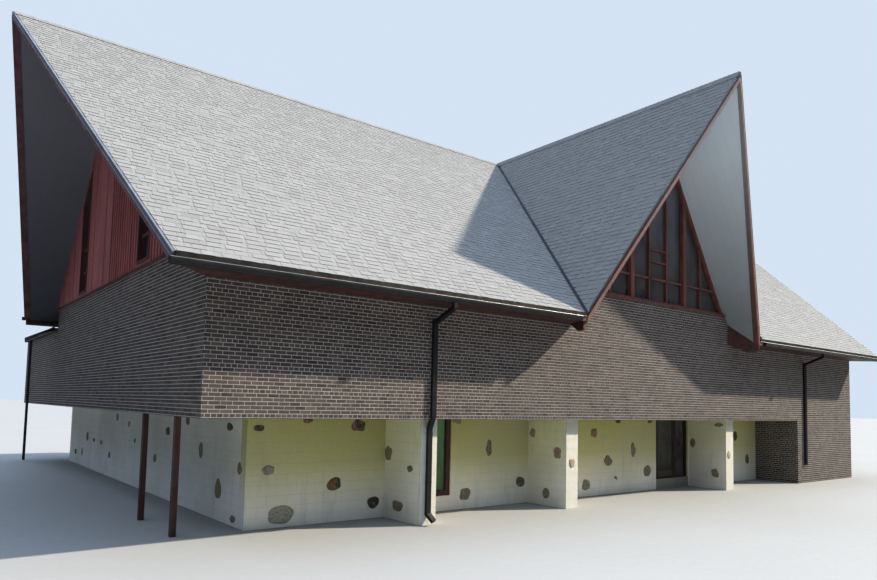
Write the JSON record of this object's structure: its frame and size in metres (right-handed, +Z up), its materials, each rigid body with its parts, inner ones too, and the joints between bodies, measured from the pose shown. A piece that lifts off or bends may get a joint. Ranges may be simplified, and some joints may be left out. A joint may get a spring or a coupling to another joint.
{
  "type": "modern church building",
  "caption": "Long brick hall raised over a recessed storey of painted block, under a steep prowed shingle roof crossed by a glazed gable, with a low flat wing behind.",
  "frame": {"origin": "on the lowest ground, under the crossing of the main ridge and the cross gables' ridge", "axes": "+X along the front towards the right end, +Y from the front to the back, +Z up"},
  "size_m": [29.4418, 21.823, 10.96],
  "materials": {
    "brick": "matte",
    "painted_block": "matte",
    "concrete": "matte",
    "shingles": "matte",
    "siding": "matte",
    "trim": "satin",
    "gutter_metal": "satin",
    "membrane": "matte",
    "glass": "gloss"
  },
  "bodies": {
    "building": {"back_gable_frame": "trim", "back_gable_glass": "glass", "back_rake_fascia": "trim", "back_wall": "brick", "cross_roof_back_left": "shingles", "cross_roof_back_right": "shingles", "cross_roof_front_left": "shingles", "cross_roof_front_right": "shingles", "door_frame": "trim", "door_sill": "concrete", "downspout_front_left": "gutter_metal", "downspout_front_right": "gutter_metal", "downspout_wing": "gutter_metal", "eave_back_left": "trim", "eave_back_right": "trim", "eave_front_left": "trim", "eave_front_right": "trim", "front_fin_1": "painted_block", "front_fin_2": "painted_block", "front_fin_3": "painted_block", "front_gable_frame": "trim", "front_gable_glass": "glass", "front_rake_fascia": "trim", "front_wall": "brick", "ground_slab": "concrete", "gutter_back_left": "gutter_metal", "gutter_back_right": "gutter_metal", "gutter_front_left": "gutter_metal", "gutter_front_right": "gutter_metal", "left_gable_glass_back": "glass", "left_gable_glass_front": "glass", "left_gable_wall": "siding", "left_post_front": "trim", "left_post_middle": "trim", "left_rake_fascia": "trim", "left_wall": "brick", "lower_back_wall": "painted_block", "lower_front_wall_left": "painted_block", "lower_front_wall_right": "painted_block", "lower_side_wall": "painted_block", "lower_window_frame": "trim", "lower_window_glass": "glass", "ridge_cap": "shingles", "right_gable_glass_back": "glass", "right_gable_glass_front": "glass", "right_gable_wall": "siding", "right_rake_fascia": "trim", "right_wall": "brick", "roof_back_left": "shingles", "roof_back_right": "shingles", "roof_front_left": "shingles", "roof_front_right": "shingles", "sidelight_glass": "glass", "upper_floor": "concrete", "wing_roof": "membrane", "wing_wall": "brick"},
    "door": {"door_leaf": "trim", "door_glass": "glass"}
  },
  "joints": [
    {"name": "door_swing", "type": "hinge", "parent": "building", "child": "door", "pos_m": [2.08, -5.045, 0], "axis": [0, 0, -1], "range_deg": [0, 90]}
  ]
}
